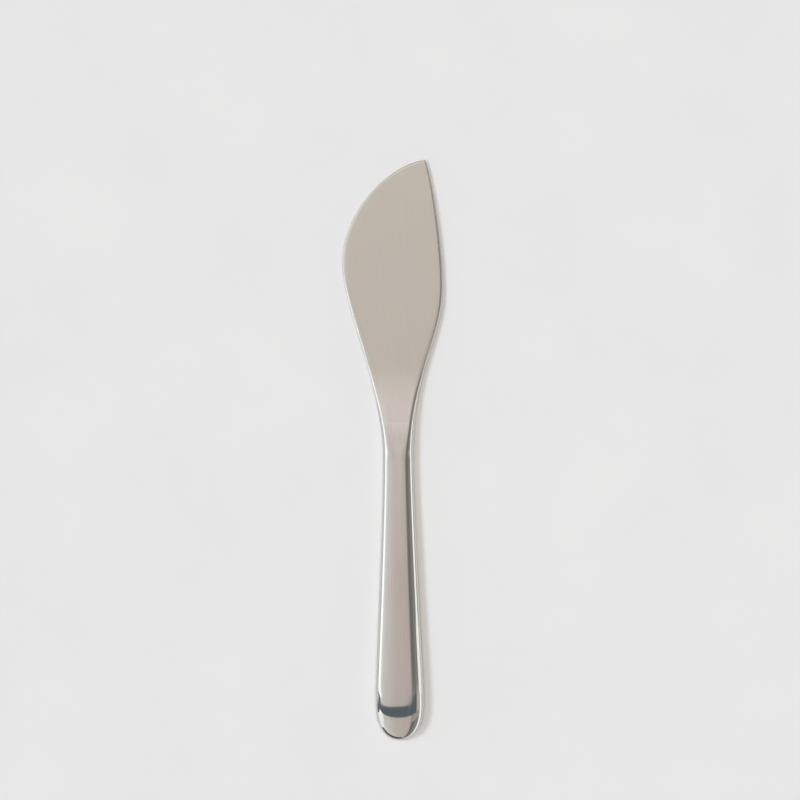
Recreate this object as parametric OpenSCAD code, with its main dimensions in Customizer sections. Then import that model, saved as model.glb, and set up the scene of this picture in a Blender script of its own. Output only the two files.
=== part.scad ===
// Butter knife: a flat spreading blade held in a hollow handle.
// Two pressed half shells meet along the middle plane and close round a cast filling.
// The blade ends in a shoulder, a spigot that plugs the mouth of the shells, and a notched tang.
// All pieces are worked out level, with the round end of the handle at y = 0 and the middle
// plane at z = 0, and are then tipped together until they lie on the table.

/* [Handle] */
// Length of the handle, from its round end to the joint with the blade
handle_length = 92.9; // [84:0.1:106]
// Width of the handle where it is widest
handle_width = 14; // [12:0.1:17]
// Distance of the widest place from the round end
handle_widest_at = 13.5; // [12:0.5:20]
// Length of the round end, seen from above
end_length = 10.5; // [8:0.1:11.5]
// Thickness of the handle where it is thickest
handle_thickness = 6.6; // [6:0.1:8]
// Distance of the thickest place from the round end
handle_thickest_at = 16; // [12:0.5:24]
// Width of the neck where it is narrowest
neck_width = 8.84; // [8:0.02:10.5]
// Distance of the narrowest place of the neck from the joint
neck_below_joint = 10.9; // [10:0.1:14]
// Thickness of the neck, just before it runs down to the blade
neck_thickness = 5; // [4.6:0.1:5.8]
// Width of the rounding along each side at the joint
joint_rounding = 2.2; // [1.6:0.05:2.8]
// Length over which that rounding widens into the oval of the handle
rounding_run = 25; // [18:1:36]

/* [Blade] */
// Length of the blade, from the joint to its point
blade_length = 76.6; // [70:0.2:86]
// Reach of the spreading edge from the axis of the handle
belly_reach = 16; // [13:0.1:19]
// Distance of that widest place from the joint
belly_from_joint = 46.6; // [42:0.1:50]
// Reach of the back of the blade from the axis of the handle
back_reach = 13.3; // [11:0.1:15]
// Distance of that place from the joint
back_from_joint = 39.6; // [35:0.1:43]
// Distance of the point from the axis of the handle
point_offset = 8.46; // [6:0.02:10]
// Slope at which the spreading edge runs away from the point, in degrees
point_edge_slope = 6.4; // [3:0.1:14]
// Lean of the back at the point, in degrees
point_back_lean = 17.2; // [12:0.1:22]
// Thickness of the blade at the foot of the ramp
blade_root_thickness = 1.6; // [1.3:0.05:2.2]
// Thickness of the blade at its point
blade_point_thickness = 0.9; // [0.7:0.05:1.2]
// Width of the rounding along the edges of the blade, at the foot of the ramp
root_edge_rounding = 1.9; // [1.3:0.05:2.3]
// Width of that rounding at the point
point_edge_rounding = 0.6; // [0.45:0.05:0.9]
// Length of the ramp that rises from the blade towards the neck, as far as the joint
ramp_length = 16; // [12:0.5:22]
// Length over which the ramp still rises beyond the joint, on the handle
ramp_beyond_joint = 9; // [7:0.1:9.8]

/* [Inside the handle] */
// Wall of the pressed shells
shell_wall = 0.7; // [0.5:0.05:0.9]
// Length of the spigot that plugs the mouth
spigot_length = 6; // [4:0.2:8.6]
// Clearance between the spigot and the shells
spigot_clearance = 0.05; // [0.03:0.01:0.1]
// Length of the tang beyond the spigot
tang_length = 48; // [36:1:60]
// Width of the tang beside the spigot
tang_width = 4.2; // [3.4:0.1:5]
// Width of the tang at its end
tang_end_width = 3; // [2.6:0.1:3.4]
// Thickness of the tang
tang_thickness = 1.8; // [1.4:0.1:2]
// Rounding along the edges of the tang
tang_rounding = 0.3; // [0.2:0.05:0.5]
// Number of notches along each edge of the tang
notch_count = 4; // [2:1:6]
// Length of one notch
notch_length = 3; // [2:0.1:4]
// Depth of one notch
notch_depth = 0.5; // [0.3:0.05:0.7]
// Shrinkage gap round the filling
filling_gap = 0.1; // [0.08:0.01:0.15]

/* [Hidden] */

// Faces along one rounding, round the end, along the shells and along the blade
rounding_steps = 7;
end_steps = 9;
shell_steps = 24;
blade_steps = 44;
// Halvings that find a place along a curve
search_steps = 24;

// Power of the oval in the sections, and of the round end from above and from the side
oval_power = 2;
end_plan_power = 2.2;
end_side_power = 2.2;
// Share of the half thickness that stands upright along the middle plane
upright_share = 0.2;
// Most that a rounding takes of the half width
rounding_limit_share = 0.94;
// Share of the blade at which its last section stands
last_section_share = 0.985;
// Share of the handle's length at which the knife would balance on one finger
balance_share = 0.82;

// Pulls of the outline curves, as shares of the length that each curve spans
handle_widest_pull_share = 0.06;
handle_neck_pull_share = 0.23;
edge_neck_pull_share = 0.39;
edge_belly_pull_share = 0.23;
belly_front_pull_share = 0.48;
point_edge_pull_share = 0.38;
back_neck_pull_share = 0.54;
back_widest_pull_share = 0.32;
back_front_pull_share = 0.25;
point_back_pull_share = 0.24;

// Places along the knife
knife_length = handle_length + blade_length;
neck_y = handle_length - neck_below_joint;
belly_y = handle_length + belly_from_joint;
back_y = handle_length + back_from_joint;
ramp_foot_y = handle_length + ramp_length;
ramp_head_y = handle_length - ramp_beyond_joint;
spigot_y = handle_length - spigot_length;
tang_y = spigot_y - tang_length;

satin_steel = [0.74, 0.71, 0.67];
polished_steel = [0.83, 0.82, 0.8];
cement_grey = [0.62, 0.58, 0.52];

// Blends and curves. A curve is a list of four points in plan: two ends and two pulls.
function mix(a, b, share) = a + (b - a) * share;
function soft_step(share) =
    let (s = min(max(share, 0), 1))
    s * s * (3 - 2 * s);
function curve_point(curve, t) =
    curve[0] * pow(1 - t, 3)
    + curve[1] * 3 * t * pow(1 - t, 2)
    + curve[2] * 3 * t * t * (1 - t)
    + curve[3] * pow(t, 3);
function curve_slope(curve, t) =
    (curve[1] - curve[0]) * pow(1 - t, 2)
    + (curve[2] - curve[1]) * 2 * t * (1 - t)
    + (curve[3] - curve[2]) * t * t;
// The share along a curve at which it reaches a height y, found by halving
function share_at(curve, y, low = 0, high = 1, left = search_steps) =
    let (middle = (low + high) / 2)
    left == 0 ? middle
        : curve_point(curve, middle)[1] < y ? share_at(curve, y, middle, high, left - 1)
        : share_at(curve, y, low, middle, left - 1);

// The outline of the handle, from its widest place up to the neck, on the side of the back
handle_span = neck_y - handle_widest_at;
handle_curve = [
    [handle_width / 2, handle_widest_at],
    [handle_width / 2, handle_widest_at + handle_widest_pull_share * handle_span],
    [neck_width / 2, neck_y - handle_neck_pull_share * handle_span],
    [neck_width / 2, neck_y]
];
// The spreading edge, from the neck over the belly to the point
belly_span = belly_y - neck_y;
belly_front_span = knife_length - belly_y;
edge_curves = [
    [
        [-neck_width / 2, neck_y],
        [-neck_width / 2, neck_y + edge_neck_pull_share * belly_span],
        [-belly_reach, belly_y - edge_belly_pull_share * belly_span],
        [-belly_reach, belly_y]
    ],
    [
        [-belly_reach, belly_y],
        [-belly_reach, belly_y + belly_front_pull_share * belly_front_span],
        [point_offset, knife_length] - point_edge_pull_share * belly_front_span
            * [cos(point_edge_slope), sin(point_edge_slope)],
        [point_offset, knife_length]
    ]
];
// The back of the blade, from the neck to the point
back_span = back_y - neck_y;
back_front_span = knife_length - back_y;
back_curves = [
    [
        [neck_width / 2, neck_y],
        [neck_width / 2, neck_y + back_neck_pull_share * back_span],
        [back_reach, back_y - back_widest_pull_share * back_span],
        [back_reach, back_y]
    ],
    [
        [back_reach, back_y],
        [back_reach, back_y + back_front_pull_share * back_front_span],
        [point_offset, knife_length] + point_back_pull_share * back_front_span
            * [sin(point_back_lean), -cos(point_back_lean)],
        [point_offset, knife_length]
    ]
];

// Sections. Each is a closed ring of points, from the side of the back over the top.
// One quarter of a ring: pairs of how far in from the edge and how high, as shares. It starts
// in the middle plane with a short upright side, from which the rounding turns inwards.
quarter_shares = concat([[0, 0]], [
    for (i = [0:rounding_steps])
        let (a = 90 * i / rounding_steps)
        [1 - pow(cos(a), 2 / oval_power), mix(upright_share, 1, pow(sin(a), 2 / oval_power))]
]);
// The upper half of a section that spans left to right, with its side roundings
function upper_arc(y, left, right, rounding, height) = concat(
    [for (q = quarter_shares) [right - rounding * q[0], y, height * q[1]]],
    [for (q = reversed(quarter_shares)) [left + rounding * q[0], y, height * q[1]]]
);
function mirrored(points) = [for (p = points) [p[0], p[1], -p[2]]];
function reversed(points) = [for (i = [len(points) - 1:-1:0]) points[i]];
// A whole ring from its upper half, with the two points in the middle plane used once
function ring(arc) = concat(arc, mirrored([for (i = [len(arc) - 2:-1:1]) arc[i]]));

// Half thickness of the blade, and of the ramp from its foot up to its head
function flat_half_thickness(y) =
    mix(blade_root_thickness, blade_point_thickness,
        (y - ramp_foot_y) / (knife_length - ramp_foot_y)) / 2;
function ramp_share(y) = soft_step((ramp_foot_y - y) / (ramp_foot_y - ramp_head_y));
function blade_half_thickness(y) =
    mix(flat_half_thickness(y), neck_thickness / 2, ramp_share(y));

// The handle. Inset 0 is its outside; the inside and the filling stand an inset within it.
function side_x(y, side) =
    y > neck_y ? curve_point((side > 0 ? back_curves : edge_curves)[0],
            share_at((side > 0 ? back_curves : edge_curves)[0], y))[0]
        : y > handle_widest_at ? side * curve_point(handle_curve, share_at(handle_curve, y))[0]
        : side * handle_width / 2;
function end_share(y, inset, power) =
    y >= end_length ? 1
        : pow(1 - pow((end_length - y) / (end_length - inset), power), 1 / power);
function handle_half_thickness(y) =
    y > ramp_head_y ? blade_half_thickness(y)
        : mix(handle_thickness, neck_thickness,
            soft_step((y - handle_thickest_at) / (ramp_head_y - handle_thickest_at))) / 2;
// Share of the half width that the rounding takes
function rounding_share(y) =
    min(rounding_limit_share,
        mix(joint_rounding, handle_width / 2, soft_step((handle_length - y) / rounding_run))
            * 2 / (side_x(y, 1) - side_x(y, -1)));
function handle_arc(y, inset) =
    let (
        narrowing = end_share(y, inset, end_plan_power),
        left = (side_x(y, -1) + inset) * narrowing,
        right = (side_x(y, 1) - inset) * narrowing,
        height = (handle_half_thickness(y) - inset) * end_share(y, inset, end_side_power)
    )
    upper_arc(y, left, right, rounding_share(y) * (right - left) / 2, height);
// Sections stand at equal angles round the end and at equal steps from there to the top
function handle_place(i, inset, top) =
    i < end_steps
        ? inset + (end_length - inset) * (1 - cos(90 * i / end_steps))
        : mix(end_length, top, (i - end_steps) / shell_steps);
handle_sections = end_steps + shell_steps;

// The blade. Its sections span from the spreading edge to the back and fan out to the point.
function edge_rounding(y) =
    y < ramp_foot_y
        ? mix(root_edge_rounding, joint_rounding, soft_step((ramp_foot_y - y) / ramp_length))
        : mix(root_edge_rounding, point_edge_rounding,
            (y - ramp_foot_y) / (knife_length - ramp_foot_y));
function path_piece(curves, place) = place < 1 ? curves[0] : curves[1];
function path_share(place) = place < 1 ? place : place - 1;
function path_point(curves, place) = curve_point(path_piece(curves, place), path_share(place));
function path_slope(curves, place) = curve_slope(path_piece(curves, place), path_share(place));
// Rounding measured along a section that meets the outline askew
function rounding_along(point, across, slope) =
    min(edge_rounding(point[1]) * norm(across) * norm(slope) / abs(cross(across, slope)),
        rounding_limit_share * norm(across) / 2);
function blade_arc(share) =
    let (
        edge_place = mix(share_at(edge_curves[0], handle_length), 2, share),
        back_place = mix(share_at(back_curves[0], handle_length), 2, share),
        edge = path_point(edge_curves, edge_place),
        back = path_point(back_curves, back_place),
        across = back - edge,
        edge_share = rounding_along(edge, across, path_slope(edge_curves, edge_place))
            / norm(across),
        back_share = rounding_along(back, across, path_slope(back_curves, back_place))
            / norm(across)
    )
    concat(
        [for (q = quarter_shares) lifted(back - across * back_share * q[0], q[1])],
        [for (q = reversed(quarter_shares)) lifted(edge + across * edge_share * q[0], q[1])]
    );
function lifted(point, share) =
    [point[0], point[1], blade_half_thickness(point[1]) * share];
blade_rings = [
    for (i = [0:blade_steps])
        ring(blade_arc(last_section_share * i / blade_steps))
];

// The tang. Its outline steps in at each notch, and a gap round it gives the cavity.
function tang_half_width(y) = mix(tang_width, tang_end_width, (spigot_y - y) / tang_length) / 2;
function notch_y(i) = spigot_y - tang_length * (i + 1) / (notch_count + 1);
function tang_arc(y, depth, gap) =
    let (half = tang_half_width(y) - depth + gap)
    upper_arc(y, -half, half, tang_rounding + gap, tang_thickness / 2 + gap);
function tang_rings(gap) = concat(
    [ring(tang_arc(spigot_y - gap, 0, gap))],
    [for (i = [0:notch_count - 1])
        for (corner = [[1 / 2, 0], [1 / 4, 1], [-1 / 4, 1], [-1 / 2, 0]])
            ring(tang_arc(notch_y(i) + corner[0] * notch_length, corner[1] * notch_depth, gap))],
    [ring(tang_arc(tang_y - gap, 0, gap))]
);

// Rest: the knife stands on two places of the handle, one on each side of where it balances.
// Of all lines that join a place behind to a place in front, the table is the outermost there.
balance_y = balance_share * handle_length;
feet = [
    for (i = [1:handle_sections])
        let (y = handle_place(i, 0, handle_length))
        [y, handle_half_thickness(y) * end_share(y, 0, end_side_power)]
];
table_lines = [
    for (a = feet) if (a[0] < balance_y)
        for (b = feet) if (b[0] > balance_y)
            let (fall = (a[1] - b[1]) / (b[0] - a[0]))
            [a[1] - fall * (balance_y - a[0]), fall]
];
table_depth = max([for (line = table_lines) line[0]]);
table_fall = [for (line = table_lines) if (line[0] == table_depth) line[1]][0];
rest_tilt = atan(table_fall);
rest_height = (table_depth + table_fall * balance_y) * cos(rest_tilt);

// The origin lies under the middle of the knife's box, on the table
module rest() {
    translate([(belly_reach - back_reach) / 2, -knife_length * cos(rest_tilt) / 2, rest_height])
        rotate([-rest_tilt, 0, 0])
            children();
}

// A closed solid through a stack of rings, with a middle point at each end
module ring_stack(rings, first_middle, last_middle) {
    size = len(rings[0]);
    count = len(rings);
    last = count * size + 1;
    function at(i, k) = 1 + i * size + k % size;
    points = concat([first_middle], [for (r = rings) for (p = r) p], [last_middle]);
    faces = concat(
        [for (k = [0:size - 1]) [0, at(0, k + 1), at(0, k)]],
        [for (i = [0:count - 2]) for (k = [0:size - 1]) [at(i, k), at(i, k + 1), at(i + 1, k)]],
        [for (i = [0:count - 2]) for (k = [0:size - 1])
            [at(i, k + 1), at(i + 1, k + 1), at(i + 1, k)]],
        [for (k = [0:size - 1]) [last, at(count - 1, k), at(count - 1, k + 1)]]
    );
    polyhedron(points = points, faces = faces);
}

// Half of a hollow handle above the middle plane, from its round end to the mouth
module half_shell() {
    outside = [for (i = [1:handle_sections])
        handle_arc(handle_place(i, 0, handle_length), 0)];
    inside = [for (i = [1:handle_sections])
        reversed(handle_arc(handle_place(i, shell_wall, handle_length), shell_wall))];
    arc = len(outside[0]);
    size = 2 * arc;
    count = len(outside);
    outer_end = count * size;
    inner_end = outer_end + 1;
    function at(i, k) = i * size + k % size;
    points = concat(
        [for (i = [0:count - 1]) for (p = concat(outside[i], inside[i])) p],
        [[0, 0, 0], [0, shell_wall, 0]]
    );
    faces = concat(
        [for (k = [0:arc - 2]) [outer_end, at(0, k + 1), at(0, k)]],
        [for (k = [arc:size - 2]) [inner_end, at(0, k + 1), at(0, k)]],
        [[outer_end, at(0, arc), at(0, arc - 1)], [outer_end, inner_end, at(0, arc)]],
        [[outer_end, at(0, 0), at(0, size - 1)], [outer_end, at(0, size - 1), inner_end]],
        [for (i = [0:count - 2]) for (k = [0:size - 1]) [at(i, k), at(i, k + 1), at(i + 1, k)]],
        [for (i = [0:count - 2]) for (k = [0:size - 1])
            [at(i, k + 1), at(i + 1, k + 1), at(i + 1, k)]],
        [for (k = [0:arc - 2])
            [at(count - 1, k), at(count - 1, k + 1), at(count - 1, size - 1 - k)]],
        [for (k = [0:arc - 2])
            [at(count - 1, k + 1), at(count - 1, size - 2 - k), at(count - 1, size - 1 - k)]]
    );
    polyhedron(points = points, faces = faces);
}

// Blade, ramp, shoulder, spigot and tang are forged and ground from one piece
module blade() {
    fit = shell_wall + spigot_clearance;
    color(satin_steel)
        rest()
            ring_stack(
                concat(
                    reversed(tang_rings(0)),
                    [ring(handle_arc(spigot_y, fit)), ring(handle_arc(handle_length, fit))],
                    blade_rings
                ),
                [0, tang_y, 0],
                [point_offset, knife_length, 0]
            );
}

module handle_upper_shell() {
    color(polished_steel)
        rest()
            half_shell();
}

// The lower half is the same pressing turned over
module handle_lower_shell() {
    color(polished_steel)
        rest()
            mirror([0, 0, 1])
                half_shell();
}

// Cast round the tang, so its cavity follows the notches
module handle_filling() {
    inset = shell_wall + filling_gap;
    top = spigot_y - filling_gap;
    color(cement_grey)
        rest()
            ring_stack(
                concat(
                    [for (i = [1:handle_sections]) ring(handle_arc(handle_place(i, inset, top), inset))],
                    tang_rings(filling_gap)
                ),
                [0, inset, 0],
                [0, tang_y - filling_gap, 0]
            );
}

blade();
handle_upper_shell();
handle_lower_shell();
handle_filling();
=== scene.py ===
"""The butter knife's looks: a satin blade in a mirror-polished hollow handle, on a pale table."""
import math

import bpy
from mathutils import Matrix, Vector


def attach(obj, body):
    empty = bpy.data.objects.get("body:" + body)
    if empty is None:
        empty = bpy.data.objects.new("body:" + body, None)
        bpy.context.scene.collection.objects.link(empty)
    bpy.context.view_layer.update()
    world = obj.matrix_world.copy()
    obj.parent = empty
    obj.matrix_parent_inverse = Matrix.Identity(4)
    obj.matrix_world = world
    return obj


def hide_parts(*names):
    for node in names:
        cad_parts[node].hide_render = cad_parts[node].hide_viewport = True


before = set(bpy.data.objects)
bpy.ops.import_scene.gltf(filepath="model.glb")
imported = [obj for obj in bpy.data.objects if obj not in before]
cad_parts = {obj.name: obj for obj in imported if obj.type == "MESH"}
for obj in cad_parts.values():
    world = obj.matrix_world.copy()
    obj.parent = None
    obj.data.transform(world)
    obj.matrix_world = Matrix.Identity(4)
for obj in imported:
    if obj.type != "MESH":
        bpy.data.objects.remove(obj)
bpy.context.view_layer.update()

MM = 0.001

# The knife's sizes, as the CAD model has them, in millimetres
handle_length = 92.9
handle_width = 14.0
handle_widest_at = 13.5
end_length = 10.5
handle_thickness = 6.6
handle_thickest_at = 16.0
neck_width = 8.84
neck_below_joint = 10.9
neck_thickness = 5.0
joint_rounding = 2.2
rounding_run = 25.0
blade_length = 76.6
belly_reach = 16.0
belly_from_joint = 46.6
back_reach = 13.3
back_from_joint = 39.6
point_offset = 8.46
point_edge_slope = math.radians(6.4)
point_back_lean = math.radians(17.2)
blade_root_thickness = 1.6
blade_point_thickness = 0.9
root_edge_rounding = 1.9
point_edge_rounding = 0.6
ramp_length = 16.0
ramp_beyond_joint = 9.0
shell_wall = 0.7
spigot_length = 6.0
spigot_clearance = 0.05
tang_length = 48.0
tang_width = 4.2
tang_end_width = 3.0
tang_thickness = 1.8
tang_rounding = 0.3
notch_count = 4
notch_length = 3.0
notch_depth = 0.5

# Power of the oval in the sections, and of the round end from above and from the side
oval_power = 2.0
end_plan_power = 2.2
end_side_power = 2.2
# Share of the half thickness that stands upright along the middle plane
upright_share = 0.2
# Most that a rounding takes of the half width
rounding_limit_share = 0.94
# Share of the blade at which its last section stands
last_section_share = 0.985
# Share of the handle's length at which the knife would balance on one finger
balance_share = 0.82
# Pulls of the outline curves, as shares of the length that each curve spans
handle_widest_pull_share = 0.06
handle_neck_pull_share = 0.23
edge_neck_pull_share = 0.39
edge_belly_pull_share = 0.23
belly_front_pull_share = 0.48
point_edge_pull_share = 0.38
back_neck_pull_share = 0.54
back_widest_pull_share = 0.32
back_front_pull_share = 0.25
point_back_pull_share = 0.24
# Corners of a notch in the tang, as shares of its length from its middle and of its depth
notch_corner_shares = ((-1 / 2, 0), (-1 / 4, 1), (1 / 4, 1), (1 / 2, 0))

# How finely the visible surfaces are divided
ROUNDING_STEPS = 22
END_STEPS = 26
SHELL_STEPS = 110
BLADE_STEPS = 150
# Places of the sections' points across the flat between two roundings
FLAT_SHARES = (0.02, 0.2, 0.4, 0.6, 0.8, 0.98)
# Halvings that find a place along a curve
SEARCH_STEPS = 40
# Faces that meet at more than this angle show a sharp edge
SHARP_ANGLE = math.radians(32)
# How finely the CAD model divides the handle, which decides where it touches the table
CAD_END_STEPS = 9
CAD_SHELL_STEPS = 24

knife_length = handle_length + blade_length
neck_y = handle_length - neck_below_joint
belly_y = handle_length + belly_from_joint
back_y = handle_length + back_from_joint
ramp_foot_y = handle_length + ramp_length
ramp_head_y = handle_length - ramp_beyond_joint
spigot_y = handle_length - spigot_length
tang_y = spigot_y - tang_length
balance_y = balance_share * handle_length


def mix(a, b, share):
    return a + (b - a) * share


def soft_step(share):
    s = min(max(share, 0.0), 1.0)
    return s * s * (3 - 2 * s)


# Curves in plan, each of them two ends with a pull at either

def plan_curve(start, start_pull, end_pull, end):
    return [Vector(p) for p in (start, start_pull, end_pull, end)]


def curve_point(curve, t):
    a, b, c, d = curve
    return a * (1 - t) ** 3 + b * 3 * t * (1 - t) ** 2 + c * 3 * t * t * (1 - t) + d * t ** 3


def curve_slope(curve, t):
    a, b, c, d = curve
    return (b - a) * (1 - t) ** 2 + (c - b) * 2 * t * (1 - t) + (d - c) * t * t


def share_at(curve, y):
    """The share along a rising curve at which it reaches the height y."""
    low, high = 0.0, 1.0
    for _ in range(SEARCH_STEPS):
        middle = (low + high) / 2
        if curve_point(curve, middle).y < y:
            low = middle
        else:
            high = middle
    return (low + high) / 2


def outline_curves():
    """The outline in plan: the handle's side, the spreading edge and the back of the blade."""
    handle_span = neck_y - handle_widest_at
    belly_span = belly_y - neck_y
    belly_front_span = knife_length - belly_y
    back_span = back_y - neck_y
    back_front_span = knife_length - back_y
    half_neck = neck_width / 2
    half_wide = handle_width / 2
    point = Vector((point_offset, knife_length))
    edge_run = Vector((math.cos(point_edge_slope), math.sin(point_edge_slope)))
    back_run = Vector((math.sin(point_back_lean), -math.cos(point_back_lean)))
    handle = plan_curve(
        (half_wide, handle_widest_at),
        (half_wide, handle_widest_at + handle_widest_pull_share * handle_span),
        (half_neck, neck_y - handle_neck_pull_share * handle_span),
        (half_neck, neck_y),
    )
    edge = [
        plan_curve(
            (-half_neck, neck_y),
            (-half_neck, neck_y + edge_neck_pull_share * belly_span),
            (-belly_reach, belly_y - edge_belly_pull_share * belly_span),
            (-belly_reach, belly_y),
        ),
        plan_curve(
            (-belly_reach, belly_y),
            (-belly_reach, belly_y + belly_front_pull_share * belly_front_span),
            point - edge_run * point_edge_pull_share * belly_front_span,
            point,
        ),
    ]
    back = [
        plan_curve(
            (half_neck, neck_y),
            (half_neck, neck_y + back_neck_pull_share * back_span),
            (back_reach, back_y - back_widest_pull_share * back_span),
            (back_reach, back_y),
        ),
        plan_curve(
            (back_reach, back_y),
            (back_reach, back_y + back_front_pull_share * back_front_span),
            point + back_run * point_back_pull_share * back_front_span,
            point,
        ),
    ]
    return handle, edge, back


handle_curve, edge_curves, back_curves = outline_curves()


# Sections

def quarter_shares():
    """How far in from the edge and how high, as shares, from the middle plane up over a rounding."""
    shares = [(0.0, 0.0)]
    for i in range(ROUNDING_STEPS + 1):
        a = math.pi / 2 * i / ROUNDING_STEPS
        cosine = max(math.cos(a), 0.0)
        up = mix(upright_share, 1, math.sin(a) ** (2 / oval_power))
        shares.append((1 - cosine ** (2 / oval_power), up))
    return shares


QUARTER = quarter_shares()


def upper_arc(back, edge, back_turn, edge_turn, lift):
    """The upper half of a section, from its back to its edge.

    The turns are the widths of its two roundings, and lift gives a place along the knife its height.
    """
    across = edge - back
    length = across.length
    run = across / length
    arc = []
    for inward, up in QUARTER:
        p = back + run * back_turn * inward
        arc.append((p.x, p.y, lift(p.y) * up))
    flat_start = back + run * back_turn
    flat = across - run * (back_turn + edge_turn)
    for share in FLAT_SHARES:
        p = flat_start + flat * share
        arc.append((p.x, p.y, lift(p.y)))
    for inward, up in reversed(QUARTER):
        p = edge - run * edge_turn * inward
        arc.append((p.x, p.y, lift(p.y) * up))
    return arc


def ring(arc):
    return arc + [(x, y, -z) for x, y, z in reversed(arc[1:-1])]


def side_x(y, side):
    """Where one side of the handle or the neck lies across the knife."""
    if y > neck_y:
        curve = (back_curves if side > 0 else edge_curves)[0]
        return curve_point(curve, share_at(curve, y)).x
    if y > handle_widest_at:
        return side * curve_point(handle_curve, share_at(handle_curve, y)).x
    return side * handle_width / 2


def end_share(y, inset, power):
    """How much of its full width or height the handle has where its round end closes it."""
    if y >= end_length:
        return 1.0
    left = max(0.0, 1 - ((end_length - y) / (end_length - inset)) ** power)
    return left ** (1 / power)


def flat_half_thickness(y):
    share = (y - ramp_foot_y) / (knife_length - ramp_foot_y)
    return mix(blade_root_thickness, blade_point_thickness, share) / 2


def blade_half_thickness(y):
    ramp_share = soft_step((ramp_foot_y - y) / (ramp_foot_y - ramp_head_y))
    return mix(flat_half_thickness(y), neck_thickness / 2, ramp_share)


def handle_half_thickness(y):
    if y > ramp_head_y:
        return blade_half_thickness(y)
    run = (y - handle_thickest_at) / (ramp_head_y - handle_thickest_at)
    return mix(handle_thickness, neck_thickness, soft_step(run)) / 2


def rounding_share(y):
    rounding = mix(joint_rounding, handle_width / 2, soft_step((handle_length - y) / rounding_run))
    return min(rounding_limit_share, rounding * 2 / (side_x(y, 1) - side_x(y, -1)))


def handle_arc(y, inset):
    narrowing = end_share(y, inset, end_plan_power)
    left = (side_x(y, -1) + inset) * narrowing
    right = (side_x(y, 1) - inset) * narrowing
    height = (handle_half_thickness(y) - inset) * end_share(y, inset, end_side_power)
    rounding = rounding_share(y) * (right - left) / 2
    return upper_arc(Vector((right, y)), Vector((left, y)), rounding, rounding, lambda _: height)


def handle_place(i, inset, end_steps=END_STEPS, shell_steps=SHELL_STEPS):
    """Where a section of the handle lies, counted from the round end."""
    if i < end_steps:
        return inset + (end_length - inset) * (1 - math.cos(math.pi / 2 * i / end_steps))
    return mix(end_length, handle_length, (i - end_steps) / shell_steps)


def edge_rounding(y):
    if y < ramp_foot_y:
        return mix(root_edge_rounding, joint_rounding, soft_step((ramp_foot_y - y) / ramp_length))
    share = (y - ramp_foot_y) / (knife_length - ramp_foot_y)
    return mix(root_edge_rounding, point_edge_rounding, share)


def path_point_and_slope(curves, place):
    curve, t = (curves[0], place) if place < 1 else (curves[1], place - 1)
    return curve_point(curve, t), curve_slope(curve, t)


def rounding_along(point, across, slope):
    """How far a rounding reaches in along a section that may cross the outline at a slant."""
    skew = abs(across.x * slope.y - across.y * slope.x) / (across.length * slope.length)
    return min(edge_rounding(point.y) / skew, rounding_limit_share * across.length / 2)


def blade_arc(share):
    edge_start = share_at(edge_curves[0], handle_length)
    back_start = share_at(back_curves[0], handle_length)
    edge, edge_slope = path_point_and_slope(edge_curves, mix(edge_start, 2, share))
    back, back_slope = path_point_and_slope(back_curves, mix(back_start, 2, share))
    across = back - edge
    return upper_arc(
        back,
        edge,
        rounding_along(back, across, back_slope),
        rounding_along(edge, across, edge_slope),
        blade_half_thickness,
    )


def tang_arc(y, depth):
    half = mix(tang_width, tang_end_width, (spigot_y - y) / tang_length) / 2 - depth
    back, edge = Vector((half, y)), Vector((-half, y))
    return upper_arc(back, edge, tang_rounding, tang_rounding, lambda _: tang_thickness / 2)


def tang_arcs():
    """From the end of the tang up to the spigot, stepping in at each notch."""
    arcs = [tang_arc(tang_y, 0)]
    for i in reversed(range(notch_count)):
        middle = spigot_y - tang_length * (i + 1) / (notch_count + 1)
        for along, deep in notch_corner_shares:
            arcs.append(tang_arc(middle + along * notch_length, deep * notch_depth))
    return arcs + [tang_arc(spigot_y, 0)]


# The rest pose: the knife stands on two places of the handle, on each side of where it balances

def table_line():
    """How deep the table lies under the balance point, and how fast the knife falls to its point."""
    feet = []
    for i in range(1, CAD_END_STEPS + CAD_SHELL_STEPS + 1):
        y = handle_place(i, 0, CAD_END_STEPS, CAD_SHELL_STEPS)
        feet.append((y, handle_half_thickness(y) * end_share(y, 0, end_side_power)))
    lines = []
    for rear_y, rear_depth in feet:
        for front_y, front_depth in feet:
            if rear_y < balance_y < front_y:
                fall = (rear_depth - front_depth) / (front_y - rear_y)
                lines.append((rear_depth - fall * (balance_y - rear_y), fall))
    return max(lines)


TABLE_DEPTH, TABLE_FALL = table_line()
REST_TILT = math.atan(TABLE_FALL)
REST_HEIGHT = (TABLE_DEPTH + TABLE_FALL * balance_y) * math.cos(REST_TILT)


def at_rest(p):
    """A point of the level knife, in millimetres, where it lies on the table, in metres."""
    x, y, z = p
    cosine, sine = math.cos(REST_TILT), math.sin(REST_TILT)
    return (
        (x + (belly_reach - back_reach) / 2) * MM,
        (y * cosine + z * sine - knife_length * cosine / 2) * MM,
        (z * cosine - y * sine + REST_HEIGHT) * MM,
    )


# Meshes

def new_piece(name, points, faces, materials, face_slots):
    mesh = bpy.data.meshes.new(name)
    mesh.from_pydata([at_rest(p) for p in points], [], faces)
    for material in materials:
        mesh.materials.append(material)
    mesh.polygons.foreach_set("material_index", face_slots)
    mesh.polygons.foreach_set("use_smooth", [True] * len(faces))
    mesh.set_sharp_from_angle(angle=SHARP_ANGLE)
    mesh.validate()
    piece = bpy.data.objects.new(name, mesh)
    bpy.context.collection.objects.link(piece)
    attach(piece, "root")
    return piece


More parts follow.
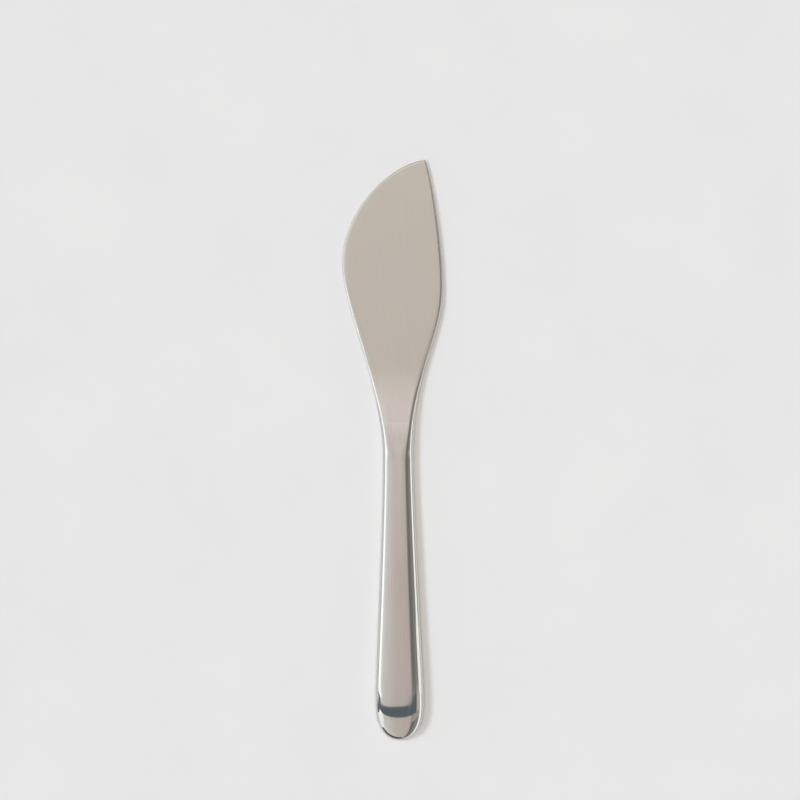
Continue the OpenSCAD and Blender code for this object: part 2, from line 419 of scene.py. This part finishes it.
def ring_stack(rings, first_middle, last_middle):
    """Points and faces of a closed solid through a stack of rings, and each face's column."""
    size, count = len(rings[0]), len(rings)
    points = [p for r in rings for p in r] + [first_middle, last_middle]
    first, last = count * size, count * size + 1
    faces, columns = [], []
    for k in range(size):
        after = (k + 1) % size
        faces.append((first, k, after))
        for i in range(count - 1):
            low, high = i * size, (i + 1) * size
            faces.append((low + k, high + k, high + after, low + after))
        top = (count - 1) * size
        faces.append((last, top + after, top + k))
        columns += [k] * (count + 1)
    return points, faces, columns


def half_shell(side):
    """Points and faces of one pressed half, above the middle plane or turned over below it."""
    count = END_STEPS + SHELL_STEPS
    places = range(1, count + 1)
    outside = [handle_arc(handle_place(i, 0), 0) for i in places]
    inside = [handle_arc(handle_place(i, shell_wall), shell_wall)[::-1] for i in places]
    arc = len(outside[0])
    size = 2 * arc
    points = [p for i in range(count) for p in outside[i] + inside[i]]
    points += [(0, 0, 0), (0, shell_wall, 0)]
    outer_end, inner_end = count * size, count * size + 1
    # The round end: outside, inside, and the rim at its two sides
    faces = [(outer_end, k, k + 1) for k in range(arc - 1)]
    faces += [(inner_end, k, k + 1) for k in range(arc, size - 1)]
    faces.append((outer_end, arc - 1, arc, inner_end))
    faces.append((inner_end, size - 1, 0, outer_end))
    # The walls and the rims along them
    for i in range(count - 1):
        low, high = i * size, (i + 1) * size
        for k in range(size):
            after = (k + 1) % size
            faces.append((low + k, high + k, high + after, low + after))
    # The rim round the mouth
    mouth = (count - 1) * size
    for k in range(arc - 1):
        faces.append((mouth + k, mouth + size - 1 - k, mouth + size - 2 - k, mouth + k + 1))
    if side < 0:
        points = [(x, y, -z) for x, y, z in points]
        faces = [f[::-1] for f in faces]
    return points, faces


# Nodes

# Nearly all of a noise lies between these two values
NOISE_RANGE = (0.3, 0.7)


def fill(tree, socket, value):
    """Gives a socket the output of another node, or a constant."""
    if isinstance(value, bpy.types.NodeSocket):
        tree.links.new(value, socket)
    else:
        socket.default_value = value


def combined(tree, operation, first, second, kind="ShaderNodeMath"):
    """Two numbers in one, or two vectors where the kind of node says so."""
    node = tree.nodes.new(kind)
    node.operation = operation
    fill(tree, node.inputs[0], first)
    fill(tree, node.inputs[1], second)
    return node.outputs[0]


def ranged(tree, value, source, target, interpolation="LINEAR"):
    """A value carried over from one range to another, and held within it."""
    node = tree.nodes.new("ShaderNodeMapRange")
    node.interpolation_type = interpolation
    for name, limit in zip(("From Min", "From Max", "To Min", "To Max"), (*source, *target)):
        node.inputs[name].default_value = limit
    tree.links.new(value, node.inputs["Value"])
    return node.outputs["Result"]


def faded(tree, value, limits):
    """A share that rises smoothly from 0 to 1 between two limits, given in their order."""
    ends = (0, 1) if limits[0] < limits[1] else (1, 0)
    return ranged(tree, value, sorted(limits), ends, "SMOOTHSTEP")


def toned(tree, value, tones):
    """The colour for a value, from a row of places between 0 and 1 and their colours."""
    ramp = tree.nodes.new("ShaderNodeValToRGB")
    elements = ramp.color_ramp.elements
    elements[0].position = tones[0][0]
    elements[-1].position = tones[-1][0]
    for place, _ in tones[1:-1]:
        elements.new(place)
    for element, (_, colour) in zip(elements, tones):
        element.color = (*colour, 1)
    tree.links.new(value, ramp.inputs["Fac"])
    return ramp.outputs["Color"]


def blended(tree, noise, dark, pale):
    """A colour that wanders from dark to pale with a noise."""
    return toned(tree, noise, tuple(zip(NOISE_RANGE, (dark, pale))))


def mixed(tree, share, first, second):
    """A colour between two others."""
    node = tree.nodes.new("ShaderNodeMix")
    node.data_type = "RGBA"
    fill(tree, node.inputs["Factor"], share)
    fill(tree, node.inputs["A"], first)
    fill(tree, node.inputs["B"], second)
    return node.outputs["Result"]


def axes(tree, space):
    """The X, Y and Z of a place in the object's space, or of a direction in the world."""
    place = tree.nodes.new("ShaderNodeTexCoord")
    split = tree.nodes.new("ShaderNodeSeparateXYZ")
    tree.links.new(place.outputs[space], split.inputs["Vector"])
    return split.outputs


def stretched_noise(tree, scales, scale, detail, roughness=0.6):
    """Noise in the object's own space, drawn out by a scale along each axis."""
    place = tree.nodes.new("ShaderNodeTexCoord")
    mapping = tree.nodes.new("ShaderNodeMapping")
    mapping.inputs["Scale"].default_value = scales
    noise = tree.nodes.new("ShaderNodeTexNoise")
    noise.inputs["Scale"].default_value = scale
    noise.inputs["Detail"].default_value = detail
    noise.inputs["Roughness"].default_value = roughness
    tree.links.new(place.outputs["Object"], mapping.inputs["Vector"])
    tree.links.new(mapping.outputs["Vector"], noise.inputs["Vector"])
    return noise.outputs["Fac"]


def bumped(tree, height, strength, distance):
    bump = tree.nodes.new("ShaderNodeBump")
    bump.inputs["Strength"].default_value = strength
    bump.inputs["Distance"].default_value = distance
    tree.links.new(height, bump.inputs["Height"])
    return bump.outputs["Normal"]


# Materials

# How much of a glancing reflection the steel gives back in each colour; a perfect mirror gives all
GLANCING_SHARES = (0.8, 0.8, 0.8, 1.0)
# The satin is painted a little cooler over this run towards the neck, a painted reflection tone, in
# metres from the knife's middle
PAINTED_COOL_REFLECTION_RUN = (0.03, 0.008)
# The spreading edge turns from glossy to satin over these distances, in metres from the middle of
# the knife: along it towards the point, and across it from the back to the edge
SATIN_EDGE_ALONG = (0.046, 0.062)
SATIN_EDGE_ACROSS = (0.006, -0.004)
SATIN_EDGE_DULLING = 0.27


def new_material(name):
    material = bpy.data.materials.new(name)
    material.use_nodes = True
    tree = material.node_tree
    return material, tree, tree.nodes["Principled BSDF"]


def new_steel(name):
    """Bare steel, before it has its colour and finish."""
    material, tree, shader = new_material(name)
    shader.inputs["Metallic"].default_value = 1.0
    shader.inputs["Specular Tint"].default_value = GLANCING_SHARES
    return material, tree, shader


def dress(tree, shader, colour, roughness, relief=None):
    """Gives a shader the colour, the roughness and, where there is one, the relief of a surface."""
    tree.links.new(colour, shader.inputs["Base Color"])
    tree.links.new(roughness, shader.inputs["Roughness"])
    if relief is not None:
        tree.links.new(relief, shader.inputs["Normal"])


def satin_steel():
    """Ground lengthwise: fine streaks along the blade in tone, gloss and relief, with a painted
    reflection tone that turns the satin cooler towards the neck.
    """
    material, tree, shader = new_steel("satin_steel")
    streaks = stretched_noise(tree, scales=(60, 1, 60), scale=90, detail=6)
    cloud = stretched_noise(tree, scales=(1, 0.35, 1), scale=70, detail=3)
    warm = blended(tree, streaks, dark=(0.652, 0.638, 0.584), pale=(0.682, 0.668, 0.614))
    # Painted reflection tone: a cooler satin colour, mixed in towards the neck
    painted_cool_tone = blended(tree, streaks, dark=(0.67, 0.65, 0.618), pale=(0.7, 0.68, 0.648))
    painted_cool_share = faded(tree, axes(tree, "Object")["Y"], PAINTED_COOL_REFLECTION_RUN)
    roughness = ranged(tree, cloud, NOISE_RANGE, target=(0.33, 0.4))
    relief = bumped(tree, streaks, strength=0.08, distance=0.00002)
    dress(tree, shader, mixed(tree, painted_cool_share, warm, painted_cool_tone), roughness, relief)
    return material


def polished_steel():
    """Mirror finish with the faint lengthwise haze that buffing leaves."""
    material, tree, shader = new_steel("polished_steel")
    streaks = stretched_noise(tree, scales=(40, 1, 40), scale=60, detail=4)
    swell = stretched_noise(tree, scales=(1, 0.4, 1), scale=110, detail=2)
    colour = blended(tree, streaks, dark=(0.67, 0.66, 0.635), pale=(0.71, 0.7, 0.675))
    roughness = ranged(tree, streaks, NOISE_RANGE, target=(0.045, 0.08))
    relief = bumped(tree, swell, strength=0.05, distance=0.0001)
    dress(tree, shader, colour, roughness, relief)
    return material


def polished_edge():
    """The rounded edges of the blade, glossy but for the front of the spreading edge."""
    material, tree, shader = new_steel("polished_edge")
    streaks = stretched_noise(tree, scales=(50, 1, 50), scale=70, detail=4)
    colour = blended(tree, streaks, dark=(0.66, 0.648, 0.6), pale=(0.69, 0.678, 0.63))
    place = axes(tree, "Object")
    forward = faded(tree, place["Y"], SATIN_EDGE_ALONG)
    outward = faded(tree, place["X"], SATIN_EDGE_ACROSS)
    satin = combined(tree, "MULTIPLY", forward, outward)
    dulling = combined(tree, "MULTIPLY", satin, SATIN_EDGE_DULLING)
    gloss = ranged(tree, streaks, NOISE_RANGE, target=(0.17, 0.23))
    dress(tree, shader, colour, combined(tree, "ADD", gloss, dulling))
    return material


def cement():
    """The cast filling: a dull, sandy grey."""
    material, tree, shader = new_material("cement_filling")
    grains = stretched_noise(tree, scales=(1, 1, 1), scale=900, detail=8, roughness=0.7)
    colour = blended(tree, grains, dark=(0.3, 0.27, 0.23), pale=(0.45, 0.41, 0.35))
    roughness = ranged(tree, grains, NOISE_RANGE, target=(0.8, 0.95))
    relief = bumped(tree, grains, strength=0.5, distance=0.0001)
    dress(tree, shader, colour, roughness, relief)
    return material


# The knife

def build_blade(satin, edge):
    """The blade with its spigot and tang, satin on its flats and glossier on its rounded edges."""
    fit = shell_wall + spigot_clearance
    hidden = [ring(a) for a in tang_arcs()]
    hidden += [ring(handle_arc(spigot_y, fit)), ring(handle_arc(handle_length, fit))]
    shown = [ring(blade_arc(last_section_share * i / BLADE_STEPS)) for i in range(BLADE_STEPS + 1)]
    points, faces, columns = ring_stack(
        hidden + shown, (0, tang_y, 0), (point_offset, knife_length, 0)
    )
    upper_flat = range(len(QUARTER) - 1, len(QUARTER) + len(FLAT_SHARES))
    last_column = len(shown[0]) - 1
    flats = {*upper_flat, *(last_column - k for k in upper_flat)}
    face_slots = [0 if k in flats else 1 for k in columns]
    piece = new_piece("blade_and_tang", points, faces, (satin, edge), face_slots)
    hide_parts("blade")


def build_shell(name, node, side, material):
    points, faces = half_shell(side)
    piece = new_piece(name, points, faces, (material,), [0] * len(faces))
    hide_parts(node)


def dress_filling():
    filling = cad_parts["handle_filling"]
    filling.data.materials.clear()
    filling.data.materials.append(cement())


polished = polished_steel()
build_blade(satin_steel(), polished_edge())
build_shell("upper_shell", "handle_upper_shell", 1, polished)
build_shell("lower_shell", "handle_lower_shell", -1, polished)
dress_filling()


# The room as the steel shows it

# How far a level direction leans from upright, in degrees
LEVEL_LEAN = 90
# The room's tones by how far a direction leans from upright across the knife, in degrees:
# the window side is negative, and the far side of the room is positive
ROOM_TONES = (
    (-90, (0.5, 0.5, 0.5)),
    (-82, (0.5, 0.5, 0.5)),
    (-78, (1.0, 1.0, 1.0)),
    (-58, (1.0, 1.0, 1.0)),
    (-53, (0.88, 0.88, 0.86)),
    (-40, (0.77, 0.76, 0.74)),
    (-25, (0.75, 0.69, 0.65)),
    (-5, (0.66, 0.59, 0.56)),
    (21, (0.62, 0.55, 0.52)),
    (24, (0.55, 0.49, 0.46)),
    (28, (0.23, 0.21, 0.195)),
    (36, (0.2, 0.19, 0.175)),
    (43, (0.3, 0.29, 0.275)),
    (50, (0.3, 0.29, 0.275)),
    (58, (0.27, 0.26, 0.25)),
    (62, (1.24, 1.22, 1.2)),
    (78, (1.32, 1.3, 1.28)),
    (81.5, (0.3, 0.29, 0.28)),
    (90, (0.15, 0.14, 0.13)),
)
# How much brighter or darker the room is beyond the point of the knife, by a direction's Y
FRONT_TONES = (
    (0.0, (1.0, 1.0, 1.0)),
    (0.12, (1.16, 1.17, 1.18)),
    (0.24, (1.45, 1.49, 1.54)),
    (0.45, (2.0, 2.06, 2.16)),
    (0.62, (0.9, 0.9, 0.9)),
    (1.0, (0.7, 0.7, 0.7)),
)
# The room's tones go no higher, so that the mirror finish keeps clear of white from the side
BRIGHTEST_TONE = (1.32, 1.3, 1.28)
# How much of the room's light falls on the table; the suns give the rest
ROOM_LIGHT_SHARE = 0.341
# The plain backdrop that the camera sees past the table
BACKDROP = (0.84, 0.84, 0.845)


def room_colour(tree):
    """The tone in a direction, by its lean across the knife and by how far it points forward."""
    direction = axes(tree, "Generated")
    level = math.radians(LEVEL_LEAN)
    lean = combined(tree, "ARCTAN2", direction["X"], direction["Z"])
    lean_place = ranged(tree, lean, (-level, level), (0, 1))
    tones = [((degrees + LEVEL_LEAN) / (2 * LEVEL_LEAN), tone) for degrees, tone in ROOM_TONES]
    room = toned(tree, lean_place, tones)
    front = toned(tree, direction["Y"], FRONT_TONES)
    both = combined(tree, "MULTIPLY", room, front, "ShaderNodeVectorMath")
    return combined(tree, "MINIMUM", both, BRIGHTEST_TONE, "ShaderNodeVectorMath")


def room_strength(tree, ray):
    """Full where the camera, steel or glass sees the room itself, and less where it lights."""
    before_table = combined(tree, "LESS_THAN", ray["Diffuse Depth"], 1)
    in_steel = combined(tree, "MULTIPLY", ray["Is Glossy Ray"], before_table)
    in_glass = combined(tree, "MAXIMUM", in_steel, ray["Is Transmission Ray"])
    seen = combined(tree, "MAXIMUM", in_glass, ray["Is Camera Ray"])
    return ranged(tree, seen, (0, 1), (ROOM_LIGHT_SHARE, 1))


def build_world():
    """The room all round, with the plain backdrop in its place where the camera looks past the table."""
    world = bpy.data.worlds.new("room")
    bpy.context.scene.world = world
    world.use_nodes = True
    tree = world.node_tree
    background = tree.nodes["Background"]
    ray = tree.nodes.new("ShaderNodeLightPath").outputs
    colour = mixed(tree, ray["Is Camera Ray"], room_colour(tree), (*BACKDROP, 1))
    tree.links.new(colour, background.inputs["Color"])
    tree.links.new(room_strength(tree, ray), background.inputs["Strength"])


# The stage

TABLE_SIZE = 3.0
# The dark blue of the beam and the post that the end of the handle shows
DARK_BLUE = (0.13, 0.16, 0.18)
# A place just above the middle of the knife
ABOVE_KNIFE = (0, 0, 0.05)
# Cards that lie level above the table: name, centre, size across and along the knife, colour, and
# turn in degrees
LEVEL_CARDS = (
    ("dark_beam", (-0.67, -0.1612, 0.4), (2.06, 0.073), DARK_BLUE, 1.4),
    ("pale_wall", (2.1, -0.385, 2.0), (2.1, 0.33), (0.6, 0.57, 0.54), 0.0),
    ("far_wall", (2.1, -0.785, 2.0), (2.1, 0.47), (0.42, 0.4, 0.38), 0.0),
    ("pale_window", (-2.65, -0.8, 2.0), (1.3, 1.1), (1.2, 1.2, 1.18), 0.0),
)
# Cards that stand up: name, centre, length and height, colour, and the place that each one faces,
# which is straight across on the knife's own line where none is given
STANDING_CARDS = (
    ("side_window", (-2.0, -0.07, 0.835), (0.3, 0.83), (1.5, 1.5, 1.5), None),
    ("bright_window", (-2.0, -0.37, 0.85), (0.3, 1.3), (2.4, 2.4, 2.4), None),
    ("next_window", (-2.0, -1.06, 0.85), (1.08, 1.3), (1.2, 1.2, 1.2), None),
    ("dark_shelf", (2.0, 0.78, 0.75), (1.06, 0.95), (0.35, 0.34, 0.32), None),
    ("dark_chair", (-0.539, -1.183, 0.24), (1.354, 0.5), (0.1, 0.095, 0.09), ABOVE_KNIFE),
    ("pale_post", (0.25, -0.07, 0.1), (0.034, 0.142), (1.2, 1.18, 1.16), None),
    ("dark_post", (-0.25, -0.1105, 0.065), (0.035, 0.12), DARK_BLUE, None),
)


def plane(name, centre, size, material, facing=None, turn=0.0):
    """A flat card that looks towards a place, or lies level with a turn in degrees."""
    w, h = size[0] / 2, size[1] / 2
    mesh = bpy.data.meshes.new(name)
    mesh.from_pydata([(-w, -h, 0), (w, -h, 0), (w, h, 0), (-w, h, 0)], [], [(0, 1, 2, 3)])
    mesh.materials.append(material)
    card = bpy.data.objects.new(name, mesh)
    card.location = centre
    card.rotation_euler = (0, 0, math.radians(turn))
    if facing is not None:
        card.rotation_mode = "QUATERNION"
        card.rotation_quaternion = (Vector(facing) - Vector(centre)).to_track_quat("Z", "Y")
    bpy.context.collection.objects.link(card)
    return card


def table_material():
    material, tree, shader = new_material("table")
    mottle = stretched_noise(tree, scales=(1, 1, 1), scale=25, detail=3)
    colour = blended(tree, mottle, dark=(0.78, 0.78, 0.785), pale=(0.795, 0.795, 0.795))
    tree.links.new(colour, shader.inputs["Base Color"])
    shader.inputs["Roughness"].default_value = 0.85
    shader.inputs["Specular IOR Level"].default_value = 0.1
    return material


def glow(name, colour):
    """A material that sends out its colour and reflects nothing."""
    material = bpy.data.materials.new(name)
    material.use_nodes = True
    tree = material.node_tree
    tree.nodes.clear()
    emission = tree.nodes.new("ShaderNodeEmission")
    emission.inputs["Color"].default_value = (*colour, 1)
    out = tree.nodes.new("ShaderNodeOutputMaterial")
    tree.links.new(emission.outputs["Emission"], out.inputs["Surface"])
    return material


def reflected_card(name, centre, size, colour, facing=None, turn=0.0):
    """Something in the room that only shows as a reflection in the steel."""
    card = plane(name, centre, size, glow(name, colour), facing, turn)
    card.visible_camera = False
    card.visible_diffuse = False
    card.visible_shadow = False
    card.visible_transmission = False
    return card


def soft_patch(name, centre, size, colour, opacity):
    """A level reflected card that fades out towards its rim."""
    card = reflected_card(name, centre, size, colour)
    tree = card.data.materials[0].node_tree
    place = tree.nodes.new("ShaderNodeTexCoord")
    across_card = tree.nodes.new("ShaderNodeMapping")
    across_card.inputs["Scale"].default_value = (2 / size[0], 2 / size[1], 1)
    distance = tree.nodes.new("ShaderNodeVectorMath")
    distance.operation = "LENGTH"
    tree.links.new(place.outputs["Object"], across_card.inputs["Vector"])
    tree.links.new(across_card.outputs["Vector"], distance.inputs[0])
    share = ranged(tree, distance.outputs["Value"], (0, 1), (opacity, 0), "SMOOTHSTEP")
    clear = tree.nodes.new("ShaderNodeBsdfTransparent")
    patch = tree.nodes.new("ShaderNodeMixShader")
    tree.links.new(share, patch.inputs["Fac"])
    tree.links.new(clear.outputs["BSDF"], patch.inputs[1])
    tree.links.new(tree.nodes["Emission"].outputs["Emission"], patch.inputs[2])
    tree.links.new(patch.outputs["Shader"], tree.nodes["Material Output"].inputs["Surface"])


def sun(name, place, spread, strength, colour):
    """Light from the direction of a place, with a spread in degrees. The steel doesn't show it."""
    data = bpy.data.lights.new(name, "SUN")
    data.energy = strength
    data.angle = math.radians(spread)
    data.color = colour
    light = bpy.data.objects.new(name, data)
    light.location = place
    light.rotation_mode = "QUATERNION"
    light.rotation_quaternion = (-Vector(place)).to_track_quat("-Z", "Y")
    light.visible_glossy = False
    bpy.context.collection.objects.link(light)


build_world()
plane("table_top", (0, 0, 0), (TABLE_SIZE, TABLE_SIZE), table_material())
sun("window", (-1.0, 0.1, 1.78), spread=17, strength=1.25, colour=(0.76, 0.86, 0.97))
sun("ceiling", (0.0, 0.0, 2.0), spread=20, strength=1.6, colour=(1.0, 0.95, 0.88))
for name, centre, size, colour, turn in LEVEL_CARDS:
    reflected_card(name, centre, size, colour, turn=turn)
soft_patch("pale_ceiling", (0, 0.013, 0.4), size=(0.34, 0.1), colour=(0.84, 0.79, 0.76), opacity=0.5)
for name, centre, size, colour, facing in STANDING_CARDS:
    reflected_card(name, centre, size, colour, facing or (0, *centre[1:]))

# The camera looks straight down; the photograph shows the knife leaning a little to the left
PIXELS_PER_MM = 3.426
IMAGE_SIZE = 800
CAMERA_HEIGHT = 0.9
KNIFE_HEIGHT = 0.003
LEAN = math.radians(0.36)
# Where the photograph shows the middle of the knife's box
ORIGIN_PIXEL = (393.6, 450.0)


def build_camera():
    data = bpy.data.cameras.new("camera")
    view_width = IMAGE_SIZE / PIXELS_PER_MM * MM
    data.angle = 2 * math.atan(view_width / 2 / (CAMERA_HEIGHT - KNIFE_HEIGHT))
    camera = bpy.data.objects.new("camera", data)
    right = (IMAGE_SIZE / 2 - ORIGIN_PIXEL[0]) / PIXELS_PER_MM * MM
    up = (ORIGIN_PIXEL[1] - IMAGE_SIZE / 2) / PIXELS_PER_MM * MM
    cosine, sine = math.cos(LEAN), math.sin(LEAN)
    camera.location = (right * cosine + up * sine, up * cosine - right * sine, CAMERA_HEIGHT)
    camera.rotation_euler = (0, 0, -LEAN)
    bpy.context.collection.objects.link(camera)
    bpy.context.scene.camera = camera


build_camera()
bpy.context.scene.view_settings.view_transform = "Standard"
